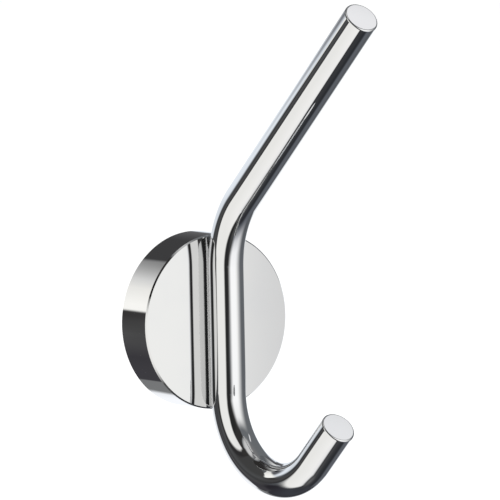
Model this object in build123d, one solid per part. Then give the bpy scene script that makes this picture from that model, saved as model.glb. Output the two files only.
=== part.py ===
from build123d import *
import math
import os

# Wall-mounted robe hook: a round rose carries one bent rod with a long upper arm and a short lower hook.
# The origin is the centre of the rose's wall face. +Z is up, and the hook stands out of the wall along -Y.
# Sizes are in millimetres and angles in degrees.

# Rose: a turned cup whose open side meets the wall
rose_diameter = 50.0
rose_depth = 11.4
rose_face_thickness = 3.0
rose_wall = 2.5
rose_edge_bevel = 0.4

# Rod: one length of round bar, bent twice in the plane X = 0
rod_diameter = 10.0
rod_end_round = 0.5
rod_lean = 46.0
upper_arm_length = 78.1
upper_bend_radius = 28.0
upper_bend_height = 15.7
lower_bend_radius = 23.3
lower_bend_height = -19.7
tip_length = 15.7

# Seat of the rod on the rose: a narrow flat on the back of the rod
seat_width = 2.0

# Screws that draw the rod onto the rose, driven from inside the cup
rod_screw_diameter = 4.0
rod_screw_length = 8.0
rod_screw_spacing = 20.0
rod_screw_head_diameter = 7.0
rod_screw_head_height = 2.2
rod_screw_socket = 2.5
rod_screw_socket_depth = 1.3
rod_screw_head_bevel = 0.4
tapped_hole_allowance = 1.0
hole_clearance = 0.25
thread_clearance = 0.02

# Wall plate: a dished disc with a V-groove round its edge
plate_thickness = 5.4
plate_web = 2.4
plate_ring_width = 4.3
plate_clearance = 0.2
plate_groove_land = 1.1
wall_screw_spacing = 26.0
wall_screw_slot_width = 5.0
wall_screw_slot_length = 8.0

# Grub screw: a cone-point screw through the rose's wall from below
grub_diameter = 4.0
grub_sink = 0.25
grub_socket = 2.0
grub_socket_depth = 2.0
grub_cone_clearance = 0.1

# Places that follow from the sizes above
rose_radius = rose_diameter / 2
rod_radius = rod_diameter / 2
recess_radius = rose_radius - rose_wall
recess_depth = rose_depth - rose_face_thickness
rod_axis_height = rose_depth + math.sqrt(rod_radius**2 - (seat_width / 2) ** 2)
plate_radius = recess_radius - plate_clearance
groove_height = plate_thickness / 2
groove_depth = groove_height - plate_groove_land
groove_floor_radius = plate_radius - groove_depth

# On the wall plane local X is the row's X, local Y is up, and local Z points out of the wall.
wall_plane = Plane(origin=(0, 0, 0), x_dir=(1, 0, 0), z_dir=(0, -1, 0))
# On the hook plane local X points out of the wall and local Y is up.
hook_plane = Plane(origin=(0, 0, 0), x_dir=(0, -1, 0), z_dir=(-1, 0, 0))

# A turned piece either stands on its local origin or hangs below it.
standing = (Align.CENTER, Align.CENTER, Align.MIN)
hanging = (Align.CENTER, Align.CENTER, Align.MAX)


def disc(radius, low, high):
    """A cylinder about the wall plane's normal, from one height above the wall to another."""
    return wall_plane * Pos(0, 0, low) * extrude(Circle(radius), high - low)


def edges_at(part, height):
    """The circular edges of a turned piece that lie at one height above the wall."""
    return part.edges().filter_by(GeomType.CIRCLE).filter_by(lambda e: abs(-e.center().Y - height) < 1e-4)


def rod_screw_places():
    """Local positions of the two rod screws on the wall plane, one above the other."""
    return [(0, side * rod_screw_spacing / 2) for side in (-1, 1)]


def make_rod_spine():
    """The rod's centre line, from the end of the upper arm down to the tip of the lower hook."""
    shank = Line((rod_axis_height, lower_bend_height), (rod_axis_height, upper_bend_height))
    upper_bend = JernArc(shank @ 1, shank % 1, upper_bend_radius, -rod_lean)
    upper_arm = Line(upper_bend @ 1, upper_bend @ 1 + upper_bend % 1 * upper_arm_length)
    lower_bend = JernArc(shank @ 0, shank % 0 * -1, lower_bend_radius, 180 - rod_lean)
    tip = Line(lower_bend @ 1, lower_bend @ 1 + lower_bend % 1 * tip_length)
    return hook_plane * Wire([upper_arm, upper_bend, shank, lower_bend, tip])


def make_hook_rod():
    """The bent bar, with rounded ends, a flat where it seats on the rose and two tapped holes."""
    spine = make_rod_spine()
    section = Plane(origin=spine @ 0, z_dir=spine % 0) * Circle(rod_radius)
    rod = sweep(section, path=spine)
    for end in (spine @ 0, spine @ 1):
        end_face = rod.faces().filter_by(GeomType.PLANE).sort_by_distance(end)[0]
        rod = fillet(end_face.edges(), rod_end_round)
    rod -= disc(rose_radius + rod_radius, 0, rose_depth)
    hole_depth = rod_screw_length - rose_face_thickness + tapped_hole_allowance
    for place in rod_screw_places():
        hole = Circle(rod_screw_diameter / 2 + thread_clearance)
        rod -= wall_plane * Pos(*place, rose_depth) * extrude(hole, hole_depth)
    return rod


def make_rose():
    """The cup, with its screw holes and the tapped hole for the grub screw at the bottom."""
    rose = disc(rose_radius, 0, rose_depth)
    rose = chamfer(edges_at(rose, rose_depth), rose_edge_bevel)
    rose -= disc(recess_radius, 0, recess_depth)
    for place in rod_screw_places():
        hole = Circle(rod_screw_diameter / 2 + hole_clearance)
        rose -= wall_plane * Pos(*place, recess_depth) * extrude(hole, rose_face_thickness)
    tapped_hole = Cylinder(grub_diameter / 2 + thread_clearance, rose_radius, align=hanging)
    rose -= Pos(0, -groove_height, 0) * tapped_hole
    return rose


def make_wall_plate():
    """The dished disc that is screwed to the wall, turned with a V-groove and pierced with two slots."""
    profile = Polyline(
        (0, 0),
        (plate_radius, 0),
        (plate_radius, plate_groove_land),
        (groove_floor_radius, groove_height),
        (plate_radius, plate_thickness - plate_groove_land),
        (plate_radius, plate_thickness),
        (plate_radius - plate_ring_width, plate_thickness),
        (plate_radius - plate_ring_width, plate_web),
        (0, plate_web),
        close=True,
    )
    # On the turning plane local X is the radius and local Y the height above the wall.
    turning_plane = Plane(origin=(0, 0, 0), x_dir=(1, 0, 0), z_dir=(0, 0, -1))
    plate = revolve(turning_plane * make_face(profile), Axis.Y)
    for side in (-1, 1):
        slot = SlotOverall(wall_screw_slot_length, wall_screw_slot_width)
        plate -= wall_plane * Pos(side * wall_screw_spacing / 2, 0, 0) * extrude(slot, plate_thickness)
    return plate


def make_rod_screw():
    """A cheese-head screw with a hexagon socket. Its head bears on local Z = 0 and its shank points up."""
    head = Cylinder(rod_screw_head_diameter / 2, rod_screw_head_height, align=hanging)
    head = chamfer(head.edges().sort_by(Axis.Z)[0], rod_screw_head_bevel)
    socket = RegularPolygon(rod_screw_socket / 2, 6, major_radius=False)
    head -= Pos(0, 0, -rod_screw_head_height) * extrude(socket, rod_screw_socket_depth)
    return head + Cylinder(rod_screw_diameter / 2, rod_screw_length, align=standing)


def make_rod_screws():
    """The two screws that hold the rod, with their heads inside the cup."""
    return [wall_plane * Pos(*place, recess_depth) * make_rod_screw() for place in rod_screw_places()]


def make_grub_screw():
    """The cone-point screw, whose point lies in the wall plate's groove."""
    outer_end = rose_radius - grub_sink
    point = groove_floor_radius + grub_cone_clearance
    shoulder = point + grub_diameter / 2
    body = Cylinder(grub_diameter / 2, outer_end - shoulder, align=standing)
    cone = Cone(grub_diameter / 2, 0, grub_diameter / 2, align=standing)
    socket = extrude(RegularPolygon(grub_socket / 2, 6, major_radius=False), grub_socket_depth)
    screw = body + Pos(0, 0, outer_end - shoulder) * cone - socket
    return Pos(0, -groove_height, -outer_end) * screw


pieces = {
    "hook_rod": make_hook_rod(),
    "rose": make_rose(),
    "wall_plate": make_wall_plate(),
    "rod_screws": Compound(make_rod_screws()),
    "grub_screw": make_grub_screw(),
}

os.makedirs("parts", exist_ok=True)
for node, piece in pieces.items():
    export_step(piece, f"parts/{node}.step")
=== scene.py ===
from math import cos, degrees, radians, sin
import bpy
import bmesh
from mathutils import Matrix, Vector


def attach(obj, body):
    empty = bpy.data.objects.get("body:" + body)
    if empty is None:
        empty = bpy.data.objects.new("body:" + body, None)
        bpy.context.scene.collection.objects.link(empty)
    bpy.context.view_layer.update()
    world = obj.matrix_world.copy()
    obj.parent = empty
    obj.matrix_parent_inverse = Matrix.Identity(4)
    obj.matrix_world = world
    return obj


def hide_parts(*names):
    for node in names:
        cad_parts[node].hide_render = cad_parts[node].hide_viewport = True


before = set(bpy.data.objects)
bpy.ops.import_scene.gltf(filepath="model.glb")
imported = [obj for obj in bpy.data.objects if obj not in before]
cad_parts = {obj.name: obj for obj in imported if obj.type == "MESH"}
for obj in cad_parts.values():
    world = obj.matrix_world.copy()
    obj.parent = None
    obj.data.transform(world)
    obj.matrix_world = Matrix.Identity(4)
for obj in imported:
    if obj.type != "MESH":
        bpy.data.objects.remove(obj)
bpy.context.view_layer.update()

scene = bpy.context.scene
scene.view_settings.view_transform = "Standard"
print("frame loaded:", ", ".join(sorted(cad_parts)))


# Wraps one output socket, so that shader maths reads as plain expressions.
class Wire:
    def __init__(self, shop, socket):
        self.shop, self.socket = shop, socket

    def other(self, name):     # another output of the same node
        return Wire(self.shop, self.socket.node.outputs[name])

    def __add__(self, b):
        return self.shop.math("ADD", self, b)

    def __radd__(self, a):
        return self.shop.math("ADD", a, self)

    def __sub__(self, b):
        return self.shop.math("SUBTRACT", self, b)

    def __rsub__(self, a):
        return self.shop.math("SUBTRACT", a, self)

    def __mul__(self, b):
        return self.shop.math("MULTIPLY", self, b)

    def __rmul__(self, a):
        return self.shop.math("MULTIPLY", a, self)

    def __truediv__(self, b):
        return self.shop.math("DIVIDE", self, b)

    def __rtruediv__(self, a):
        return self.shop.math("DIVIDE", a, self)


# Adds nodes to one tree: settings are set first, then values or links go into the sockets.
class Shop:
    def __init__(self, tree):
        self.tree = tree
        tree.nodes.clear()

    def node(self, kind, settings=None, inputs=None, out=0, stops=None):
        made = self.tree.nodes.new(kind)
        for name, value in (settings or {}).items():
            setattr(made, name, value)
        if stops:                         # a ramp's stops: (place from 0 to 1, colour)
            elements = made.color_ramp.elements
            while len(elements) < len(stops):
                elements.new(1.0)
            for element, (place, colour) in zip(elements, stops):
                element.position, element.color = place, colour
        for name, value in (inputs or {}).items():
            if isinstance(value, Wire):
                self.tree.links.new(value.socket, made.inputs[name])
            else:
                made.inputs[name].default_value = value
        return Wire(self, made.outputs[out] if made.outputs else None)

    def math(self, operation, *values):
        return self.node("ShaderNodeMath", {"operation": operation}, dict(enumerate(values)))

    def smooth(self, value, low, high):      # 0 at low and 1 at high, either way round
        ends = {"Value": value, "From Min": low, "From Max": high}
        return self.node("ShaderNodeMapRange", {"interpolation_type": "SMOOTHSTEP"}, ends)

    # sockets 6 and 7 are the Mix node's two colours, and output 2 is its result
    def mixColour(self, mask, a, b):
        return self.node("ShaderNodeMix", {"data_type": "RGBA"}, {0: mask, 6: a, 7: b}, out=2)

    def noise(self, place, scale, detail):
        inputs = {"Vector": place, "Scale": scale, "Detail": detail}
        return self.node("ShaderNodeTexNoise", {"noise_dimensions": "3D"}, inputs)

    def surface(self, skin):     # the shader and the output that end a material
        principled = self.node("ShaderNodeBsdfPrincipled", inputs=skin)
        self.node("ShaderNodeOutputMaterial", inputs={"Surface": principled})


def newMaterial(name):
    made = bpy.data.materials.new(name)
    made.use_nodes = True
    return made, Shop(made.node_tree)


# A screen colour from 0 to 255, as the linear colour that renders as it. The numbers are the sRGB curve's.
def shade(red, green, blue):
    parts = [part / 255 for part in (red, green, blue)]
    return tuple(p / 12.92 if p < 0.04045 else ((p + 0.055) / 1.055) ** 2.4 for p in parts) + (1.0,)


# The camera: a long lens, from the left of the hook and a little above it. Angles are in degrees, places in
# metres, and the lens and the sensor in millimetres.
cameraSetup = {
    "aim": (0.0, -0.02776, 0.02150),
    "azimuth": -37.192,
    "elevation": 5.915,
    "roll": -1.124,
    "distance": 2.5708,
    "lens": 655.47,
    "sensor": 36.0,
    "clip": (0.1, 30.0),
}


def placeCamera():
    data = bpy.data.cameras.new("camera")
    data.lens, data.sensor_width = cameraSetup["lens"], cameraSetup["sensor"]
    data.clip_start, data.clip_end = cameraSetup["clip"]
    azimuth, elevation, roll = (radians(cameraSetup[k]) for k in ("azimuth", "elevation", "roll"))
    back = Vector((sin(azimuth) * cos(elevation), -cos(azimuth) * cos(elevation), sin(elevation)))
    level = Vector((cos(azimuth), sin(azimuth), 0))
    upright = back.cross(level)
    right = cos(roll) * level + sin(roll) * upright
    up = cos(roll) * upright - sin(roll) * level
    place = Matrix((right, up, back)).transposed().to_4x4()
    place.translation = Vector(cameraSetup["aim"]) + back * cameraSetup["distance"]
    camera = bpy.data.objects.new("camera", data)
    camera.matrix_world = place
    scene.collection.objects.link(camera)
    scene.camera = camera


placeCamera()
print("camera placed")


# The studio: a white surround, a pale floor, one soft lamp above and a tent that only the metal sees
studio = {
    "surround": 0.85,        # strength of the plain light from all round
    "floorHeight": -0.125,
    "floorSize": 6.0,
    "floorColour": (0.92, 0.92, 0.92, 1.0),
    "floorRoughness": 0.9,
    "floorSpecular": 0.1,
    "floorGlow": 0.22,       # lifts the lit floor to white on screen, and leaves its shadow
    "lampPlace": (0.0, -0.05, 1.4),
    "lampSize": 1.2,
    "lampPower": 9.0,
    "tentRadius": 0.6,
    "tentFacets": (96, 48),
    "tentGlow": 1.22,        # makes up for the light that the chrome swallows
}
black, white = (0, 0, 0, 1), (1, 1, 1, 1)


def lightSurround():     # plain white where it is seen or mirrored, and softer as a light
    world = bpy.data.worlds.new("surround")
    world.use_nodes = True
    scene.world = world
    shop = Shop(world.node_tree)
    path = shop.node("ShaderNodeLightPath")
    seen = path.other("Is Camera Ray") + path.other("Is Glossy Ray") + path.other("Is Transmission Ray")
    shown = shop.node("ShaderNodeBackground", inputs={"Color": white, "Strength": 1.0})
    soft = shop.node("ShaderNodeBackground", inputs={"Color": white, "Strength": studio["surround"]})
    mixed = shop.node("ShaderNodeMixShader", inputs={0: seen, 1: soft, 2: shown})
    shop.node("ShaderNodeOutputWorld", inputs={"Surface": mixed})


def addStage(name, mesh, material):
    piece = bpy.data.objects.new(name, mesh)
    mesh.materials.append(material)
    scene.collection.objects.link(piece)
    return piece


def layFloor():
    half, height = studio["floorSize"] / 2, studio["floorHeight"]
    mesh = bpy.data.meshes.new("floor")
    corners = [(-half, -half, height), (half, -half, height), (half, half, height), (-half, half, height)]
    mesh.from_pydata(corners, [], [(0, 1, 2, 3)])
    material, shop = newMaterial("paleFloor")
    seen = shop.node("ShaderNodeLightPath").other("Is Camera Ray")
    glow = shop.mixColour(seen, black, white)
    skin = {"Base Color": studio["floorColour"], "Roughness": studio["floorRoughness"],
            "Specular IOR Level": studio["floorSpecular"],
            "Emission Color": glow, "Emission Strength": studio["floorGlow"]}
    shop.surface(skin)
    material.cycles.emission_sampling = "NONE"     # its glow is for the camera alone
    floor = addStage("floor", mesh, material)
    floor.visible_glossy = False


def hangLamp():
    data = bpy.data.lights.new("softLamp", "AREA")
    data.shape, data.size, data.energy = "DISK", studio["lampSize"], studio["lampPower"]
    lamp = bpy.data.objects.new("softLamp", data)
    lamp.location = studio["lampPlace"]
    lamp.visible_glossy = False
    scene.collection.objects.link(lamp)


lightSurround()
layFloor()
hangLamp()
print("surround, floor and lamp ready")


# The tent: a plain grey room with soft boxes, cards and dark flags hung in it, in the order that they
# cover each other. Directions are in degrees from the hook. Azimuth 0 is straight out of the wall and 90
# is +X, and elevation is up. "about" is an azimuth near a panel's middle. A left or right edge is a run of
# corners, each (elevation, azimuth), and fades as far as "soft" says on either side of it. A low or high
# end fades from its first elevation to its second. A colour is a screen colour at an elevation, and blends
# into the next one. The values follow the reflections in the photograph: a scratch program fitted earlier
# ones to it, and they were then rounded, regrouped and corrected by hand.
tentGround = [(-90, (98, 98, 99)), (-78, (56, 57, 60)), (-67, (42, 44, 48)), (-62, (53, 55, 60)),
              (-56, (89, 93, 99)), (-44, (93, 96, 103)), (-36, (84, 87, 91)), (0, (99, 102, 106)),
              (60, (104, 107, 110)), (78, (116, 116, 117)), (90, (150, 150, 150))]
tentPanels = [
    # the light ceiling, over the front and the left, whose high end lies past straight up
    {"name": "ceiling", "about": -60, "left": [(60, -128), (90, -130)], "right": [(60, 15), (90, 60)],
     "soft": (15, 30), "low": (59, 70), "high": (200, 199),
     "colour": [(66, (193, 193, 192)), (80, (203, 203, 203)), (90, (168, 168, 168))]},
    # dark cloths beside and above the left box
    {"name": "leftShade", "about": -90, "left": [(-10, -146), (50, -146)], "right": [(0, -78)],
     "soft": (4, 1), "low": (-19, -16), "high": (70, 61),
     "colour": [(-12, (54, 54, 55)), (-2, (76, 77, 78)), (12, (64, 64, 64))]},
    {"name": "darkFlag", "about": -60, "left": [(0, -114), (50, -108)], "right": [(20, -8), (60, -8)],
     "soft": (1.5, 4), "low": (-8, -5), "high": (63, 59),
     "colour": [(-6, (48, 47, 45)), (30, (50, 49, 48))]},
    {"name": "lowFlag", "about": -60, "left": [(-60, -64)], "right": [(-66, -10), (-30, -9), (0, -6)],
     "soft": (1, 3), "low": (-74, -68), "high": (-6, -9),
     "colour": [(-60, (80, 80, 80)), (-10, (38, 38, 37))]},
    # the soft box in front, which fades slowly to the right and downwards
    {"name": "middleBox", "about": 0, "left": [(-46, 4), (-20, -10), (-8, -13), (2, -17), (30, -10)],
     "right": [(-42, 64), (-20, 50), (0, 45), (30, 44)],
     "soft": (13, 26), "low": (-58, -36), "high": (50, 26),
     "colour": [(-44, (196, 197, 201)), (-24, (246, 246, 247)), (0, (255, 255, 255)),
                (30, (240, 240, 239))]},
    # one card that the bar's cut ends face, and one that the rose's front faces, with a shaded right side
    {"name": "capCard", "about": 66, "left": [(50, 61.5)], "right": [(50, 69)], "soft": (2.5, 2.5),
     "low": (42, 46), "high": (61, 57), "colour": [(48, (231, 232, 234)), (56, (237, 237, 239))]},
    {"name": "faceCard", "about": 36, "left": [(-6, 30)], "right": [(-6, 37.5)], "soft": (3, 4),
     "low": (-13, -9), "high": (2, -2), "colour": [(-6, (241, 241, 239))]},
    {"name": "faceShade", "about": 39, "left": [(-6, 37.5)], "right": [(-6, 41)], "soft": (2.5, 2),
     "low": (-13, -9), "high": (2, -2), "colour": [(-6, (210, 210, 210))]},
    # the black edges that draw the dark lines down the bar
    {"name": "blackEdge", "about": -60, "left": [(-60, -38), (-30, -48), (0, -48), (40, -60)],
     "right": [(-60, -20), (-44, -27), (0, -27), (40, -28)], "soft": (4, 7),
     "low": (-64, -60), "high": (46, 34), "colour": [(-40, (39, 40, 41)), (20, (39, 40, 39))]},
    {"name": "shadeEdge", "about": -110, "left": [(0, -121), (40, -108)], "right": [(0, -101), (40, -97)],
     "soft": (3, 1.5), "low": (0, 6), "high": (44, 33), "colour": [(0, (46, 45, 46))]},
    # the large soft box on the left, reaching under the hook
    {"name": "leftBox", "about": -80,
     "left": [(-80, -147), (-42, -138), (-17, -135), (-14, -133), (-12, -121), (-8, -102), (-3, -101),
              (10, -106), (26, -102), (40, -97), (52, -86)],
     "right": [(-80, -38), (-74, -50), (-64, -43), (-50, -46), (-30, -48), (0, -48), (20, -53),
               (36, -67), (44, -73), (52, -86)],
     "soft": (4, 5), "low": (-82, -74), "high": (54, 48),
     "colour": [(-80, (230, 230, 231)), (-64, (243, 242, 240)), (-30, (236, 235, 232)),
                (20, (238, 238, 235)), (50, (230, 229, 227))]},
    # behind, near the wall: a dark cloth with a pale card in it
    {"name": "backShade", "about": 180, "left": [(-50, 118), (20, 128)],
     "right": [(-60, 221), (-30, 223), (-18, 219), (0, 214), (10, 206), (40, 212)],
     "soft": (6, 5), "low": (-86, -62), "high": (46, 40),
     "colour": [(-60, (58, 60, 66)), (-30, (40, 38, 43)), (0, (50, 52, 55)), (10, (94, 94, 100)),
                (30, (84, 84, 87))]},
    {"name": "backCard", "about": 150, "left": [(-30, 114), (0, 119), (8, 125), (24, 131)],
     "right": [(-42, 192), (-20, 196), (0, 203), (10, 213)],
     "soft": (3, 7), "low": (-44, -41), "high": (19, 10),
     "colour": [(-36.5, (118, 119, 120)), (-34.5, (236, 238, 242)), (-30, (243, 245, 249)),
                (-10, (230, 233, 236)), (5, (214, 220, 227)), (10, (228, 234, 241))]},
    # what the rose's rim sees along the wall: dark at the top, a card on the upper left, dark below it
    {"name": "rimTop", "about": 160, "left": [(8, 138), (30, 146.5)], "right": [(8, 150), (38, 187)],
     "soft": (1, 2), "low": (6, 10), "high": (44, 41), "colour": [(10, (94, 94, 96)), (30, (61, 61, 62))]},
    {"name": "rimCard", "about": -160, "left": [(10, -148), (24, -156), (38, -173)],
     "right": [(10, -140), (24, -144), (38, -162)], "soft": (2.5, 1), "low": (5, 8), "high": (42, 40),
     "colour": [(12, (252, 251, 247)), (24, (236, 235, 231)), (30, (212, 212, 211)),
                (38, (138, 138, 138))]},
    {"name": "rimFlag", "about": -160, "left": [(-38, -177), (-24, -156), (-5, -144)],
     "right": [(-38, -156), (-24, -144), (-5, -140)], "soft": (1, 3), "low": (-43, -41), "high": (7, 5),
     "colour": [(-36, (62, 61, 65)), (-29, (58, 57, 61)), (-12, (80, 80, 80)), (2, (50, 48, 48))]},
]
edgeSpread = 720     # degrees of azimuth that an edge's ramp from black to white stands for


def shareOf(elevation):     # an elevation as a place on a ramp, from 0 at the bottom to 1 at the top
    return (elevation + 90) / 180


def edgeOver(shop, share, corners):
    # the azimuth of an edge at each elevation, drawn by a ramp of greys on which mid grey is azimuth 0
    if len(corners) == 1:
        return corners[0][1]
    greys = [(shareOf(a), (b / edgeSpread + 0.5,) * 3 + (1.0,)) for a, b in corners]
    ramp = shop.node("ShaderNodeValToRGB", inputs={0: share}, stops=greys)
    return (ramp - 0.5) * edgeSpread


def colourOver(shop, share, colours):
    if len(colours) == 1:
        return shade(*colours[0][1])
    stops = [(shareOf(a), shade(*c)) for a, c in colours]
    return shop.node("ShaderNodeValToRGB", inputs={0: share}, stops=stops)


def panelMask(shop, panel, azimuth, elevation, share):     # 1 on the panel and 0 beside it
    about = panel["about"]
    turned = shop.math("WRAP", azimuth - about, 180, -180) + about
    left = edgeOver(shop, share, panel["left"])
    right = edgeOver(shop, share, panel["right"])
    leftSoft, rightSoft = panel["soft"]
    return (shop.smooth(turned - left, -leftSoft, leftSoft)
            * shop.smooth(turned - right, rightSoft, -rightSoft)
            * shop.smooth(elevation, *panel["low"]) * shop.smooth(elevation, *panel["high"]))


def tentMaterial():
    material, shop = newMaterial("lightTent")
    place = shop.node("ShaderNodeNewGeometry").other("Position")
    direction = shop.node("ShaderNodeVectorMath", {"operation": "NORMALIZE"}, {0: place})
    x = shop.node("ShaderNodeSeparateXYZ", inputs={0: direction})
    y, z = x.other("Y"), x.other("Z")
    azimuth = shop.math("ARCTAN2", x, 0 - y) * degrees(1)
    elevation = shop.math("ARCSINE", z) * degrees(1)
    share = shareOf(elevation)
    light = colourOver(shop, share, tentGround)
    for panel in tentPanels:
        mask = panelMask(shop, panel, azimuth, elevation, share)
        light = shop.mixColour(mask, light, colourOver(shop, share, panel["colour"]))
        light.socket.node.label = panel["name"]
    skin = {"Base Color": black, "Roughness": 1.0, "Specular IOR Level": 0.0,
            "Emission Color": light, "Emission Strength": studio["tentGlow"]}
    shop.surface(skin)
    material.cycles.emission_sampling = "NONE"     # it is mirrored, and lights nothing
    return material


def hangTent():
    ball = bmesh.new()
    around, upward = studio["tentFacets"]
    bmesh.ops.create_uvsphere(ball, u_segments=around, v_segments=upward, radius=studio["tentRadius"])
    mesh = bpy.data.meshes.new("lightTent")
    ball.to_mesh(mesh)
    ball.free()
    tent = addStage("lightTent", mesh, tentMaterial())
    tent.visible_camera = tent.visible_diffuse = tent.visible_transmission = False
    tent.visible_shadow = tent.visible_volume_scatter = False


hangTent()
print("tent hung with", len(tentPanels), "panels")


# Polished chrome: a near mirror with a faint haze, and plain plating where the polishing wheel can't reach
chrome = {
    "colour": (0.782, 0.784, 0.786, 1.0),
    "hazeColour": (0.766, 0.77, 0.777, 1.0),
    "roughness": 0.02,
    "haze": 0.018,            # roughness that the haze adds
    "hazeScale": 90.0,
    "hazeDetail": 3.0,
    "hazeRange": (0.4, 0.8),
    "marksScale": 1400.0,     # fine polishing marks
    "marksDetail": 4.0,
    "marksDepth": 0.0000006,
    "cupRadius": 0.02275,     # inside this and behind cupDepth the cup is only plated
    "cupDepth": -0.0086,
    "cupEdge": 0.0001,        # over this the plating gives way to polish
    "platedRoughness": 0.24,  # added inside the cup
    "platedColour": (0.70, 0.71, 0.72, 1.0),
}


def chromeMaterial():
    material, shop = newMaterial("polishedChrome")
    place = shop.node("ShaderNodeTexCoord").other("Object")
    x = shop.node("ShaderNodeSeparateXYZ", inputs={0: place})
    y, z = x.other("Y"), x.other("Z")
    radius = shop.math("SQRT", x * x + z * z)
    edge = chrome["cupEdge"]
    plated = (shop.smooth(radius, chrome["cupRadius"] + edge, chrome["cupRadius"])
              * shop.smooth(y, chrome["cupDepth"], chrome["cupDepth"] + edge))
    haze = shop.noise(place, chrome["hazeScale"], chrome["hazeDetail"])
    cloud = shop.smooth(haze, *chrome["hazeRange"])
    polishedColour = shop.mixColour(cloud, chrome["colour"], chrome["hazeColour"])
    colour = shop.mixColour(plated, polishedColour, chrome["platedColour"])
    rough = chrome["roughness"] + chrome["haze"] * cloud + chrome["platedRoughness"] * plated
    marks = shop.noise(place, chrome["marksScale"], chrome["marksDetail"])
    relief = shop.node("ShaderNodeBump", inputs={"Height": marks, "Distance": chrome["marksDepth"]})
    skin = {"Base Color": colour, "Metallic": 1.0, "Roughness": rough, "Normal": relief}
    shop.surface(skin)
    return material


# Metals of the hidden fixings: tool rings round the axis that each was turned on, a cast or drawn grain,
# and dull patches
turning = {
    "patchScale": 260.0, "patchDetail": 3.0, "patchRange": (0.42, 0.68),
    "grainDetail": 5.0, "grainRoughness": 0.06,
    "ringWobble": 0.6, "ringDetail": 1.0,
    "ringShare": 0.45, "grainShare": 0.55,     # how much of the relief each makes
}
turnedMetals = {
    "wall_plate": {"name": "castZinc", "colour": (0.50, 0.51, 0.52, 1.0), "dull": (0.48, 0.49, 0.502, 1.0),
                   "roughness": 0.34, "dullRoughness": 0.08, "rings": "Y", "ringScale": 900.0,
                   "grainScale": 1500.0, "relief": 0.000012},
    "rod_screws": {"name": "screwSteel", "colour": (0.60, 0.59, 0.57, 1.0), "dull": (0.47, 0.46, 0.45, 1.0),
                   "roughness": 0.24, "dullRoughness": 0.14, "rings": "Y", "ringScale": 1800.0,
                   "grainScale": 2600.0, "relief": 0.000006},
    "grub_screw": {"name": "grubSteel", "colour": (0.55, 0.55, 0.56, 1.0), "dull": (0.40, 0.40, 0.41, 1.0),
                   "roughness": 0.27, "dullRoughness": 0.14, "rings": "Z", "ringScale": 1800.0,
                   "grainScale": 2600.0, "relief": 0.000006},
}


def turnedMaterial(metal):
    material, shop = newMaterial(metal["name"])
    place = shop.node("ShaderNodeTexCoord").other("Object")
    blotches = shop.noise(place, turning["patchScale"], turning["patchDetail"])
    patches = shop.smooth(blotches, *turning["patchRange"])
    grain = shop.noise(place, metal["grainScale"], turning["grainDetail"])
    lathe = {"wave_type": "RINGS", "rings_direction": metal["rings"]}
    cut = {"Vector": place, "Scale": metal["ringScale"],
           "Distortion": turning["ringWobble"], "Detail": turning["ringDetail"]}
    rings = shop.node("ShaderNodeTexWave", lathe, cut, out="Fac")
    colour = shop.mixColour(patches, metal["colour"], metal["dull"])
    rough = (metal["roughness"] + metal["dullRoughness"] * patches
             + turning["grainRoughness"] * (grain - 0.5))
    height = turning["ringShare"] * rings + turning["grainShare"] * grain
    relief = shop.node("ShaderNodeBump", inputs={"Height": height, "Distance": metal["relief"]})
    skin = {"Base Color": colour, "Metallic": 1.0, "Roughness": rough, "Normal": relief}
    shop.surface(skin)
    return material


# The bent rod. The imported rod's flat facets would show in the mirror finish, so this is the same bar with
# fine ones. Sizes are in metres, and its centre line lies in the plane x = 0.
rod = {
    "radius": 0.005,
    "endRound": 0.0005,
    "axis": -0.016299,        # y of the upright shank's centre line
    "seat": -0.0114,          # y of the flat that lies on the rose
    "seatWithin": 1e-7,       # corners this near the flat belong to it
    "lean": 46.0,
    "upperArm": 0.0781, "upperBend": 0.028, "upperStart": 0.0157,
    "lowerBend": 0.0233, "lowerStart": -0.0197, "tip": 0.0157,
    "sides": 144,
    "bendStep": 1.0,          # degrees of bend from one ring to the next
    "roundSteps": 10,
}


def bendLine(radius, height, first, last):
    # Points round one bend with their directions, from its first turn to its last. The turn is measured
    # round the bend's centre, in degrees: 0 where the bend meets the shank, and positive above that.
    across, up = Vector((0, 1, 0)), Vector((0, 0, 1))
    centre = Vector((0, rod["axis"] - radius, height))
    steps = round((first - last) / rod["bendStep"])
    line = []
    for step in range(steps + 1):
        turn = radians(first + (last - first) * step / steps)
        out = across * cos(turn) + up * sin(turn)
        line.append((centre + radius * out, across * sin(turn) - up * cos(turn)))
    return line


def rodLine():
    # Points of the centre line with their directions, from the upper end down to the tip. The arm and the
    # tip are parallel, so the two bends make half a turn together.
    line = (bendLine(rod["upperBend"], rod["upperStart"], rod["lean"], 0)
            + bendLine(rod["lowerBend"], rod["lowerStart"], 0, rod["lean"] - 180))
    start, ahead = line[0]
    upperEnd = (start - ahead * rod["upperArm"], ahead)
    start, ahead = line[-1]
    lowerEnd = (start + ahead * rod["tip"], ahead)
    return [upperEnd] + line + [lowerEnd]


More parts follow.
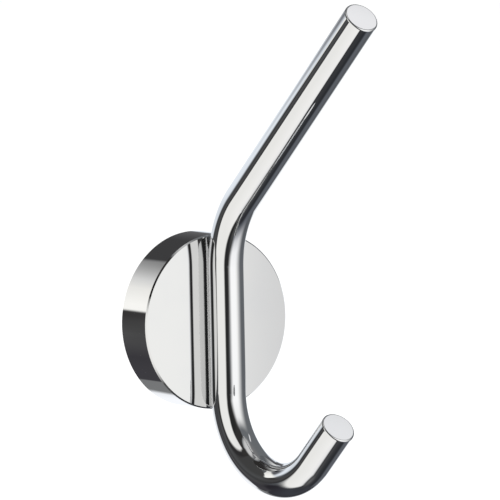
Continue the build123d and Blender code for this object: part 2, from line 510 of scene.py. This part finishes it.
def rodRings():
    # rings round the bar: centre, direction, radius, and how far the surface leans towards that direction
    line = rodLine()
    small, steps = rod["endRound"], rod["roundSteps"]
    rounding = []     # from the cut end's flat to the bar's side
    for step in range(steps + 1):
        turn = radians(90 * step / steps)
        rounding.append((small * (1 - cos(turn)), rod["radius"] - small + small * sin(turn),
                         turn - radians(90)))
    (top, topWay), (tip, tipWay) = line[0], line[-1]
    rings = [(top + topWay * inward, topWay, radius, leaning) for inward, radius, leaning in rounding]
    rings += [(point, ahead, rod["radius"], 0.0) for point, ahead in line[1:-1]]
    rings += [(tip - tipWay * inward, tipWay, radius, -leaning)
              for inward, radius, leaning in reversed(rounding)]
    return rings


def rodSkin():
    # corners with their exact normals, and the faces between them
    rings, sides = rodRings(), rod["sides"]
    side = Vector((1, 0, 0))
    corners, normals = [], []
    for centre, ahead, radius, leaning in rings:
        over = side.cross(ahead)          # points away from the inside of both bends
        for k in range(sides):
            turn = radians(360 * k / sides)
            out = side * cos(turn) + over * sin(turn)
            corners.append(centre + out * radius)
            normals.append(out * cos(leaning) + ahead * sin(leaning))
    for corner in corners:                # the seat is cut flat where the rod would run into the rose
        corner.y = min(corner.y, rod["seat"])
    faces = [tuple(range(sides))]
    for ring in range(len(rings) - 1):
        low, high = ring * sides, (ring + 1) * sides
        for k in range(sides):
            after = (k + 1) % sides
            faces.append((low + k, high + k, high + after, low + after))
    last = (len(rings) - 1) * sides
    faces.append(tuple(last + k for k in reversed(range(sides))))
    return corners, normals, faces


def bendRod(material):
    corners, normals, faces = rodSkin()
    mesh = bpy.data.meshes.new("hookRod")
    mesh.from_pydata([tuple(corner) for corner in corners], [], faces)
    mesh.polygons.foreach_set("use_smooth", [True] * len(faces))
    mesh.update()
    cornerNormals = []
    for face in mesh.polygons:
        seated = all(corners[k].y > rod["seat"] - rod["seatWithin"] for k in face.vertices)
        capped = len(face.vertices) > 4     # the flat middle of a cut end
        for k in face.vertices:
            cornerNormals.append(tuple(face.normal) if seated or capped else tuple(normals[k]))
    mesh.normals_split_custom_set(cornerNormals)
    mesh.materials.append(material)
    piece = bpy.data.objects.new("hookRod", mesh)
    scene.collection.objects.link(piece)
    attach(piece, "root")
    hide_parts("hook_rod")
    return piece


def dress(node, material):
    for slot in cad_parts[node].material_slots:
        slot.material = material


polished = chromeMaterial()
hookRod = bendRod(polished)
dress("rose", polished)
print("rod bent with", len(hookRod.data.polygons), "faces, and chrome on the rod and the rose")
for node, metal in turnedMetals.items():
    dress(node, turnedMaterial(metal))
print("turned metals on", ", ".join(turnedMetals))

print("finishing")
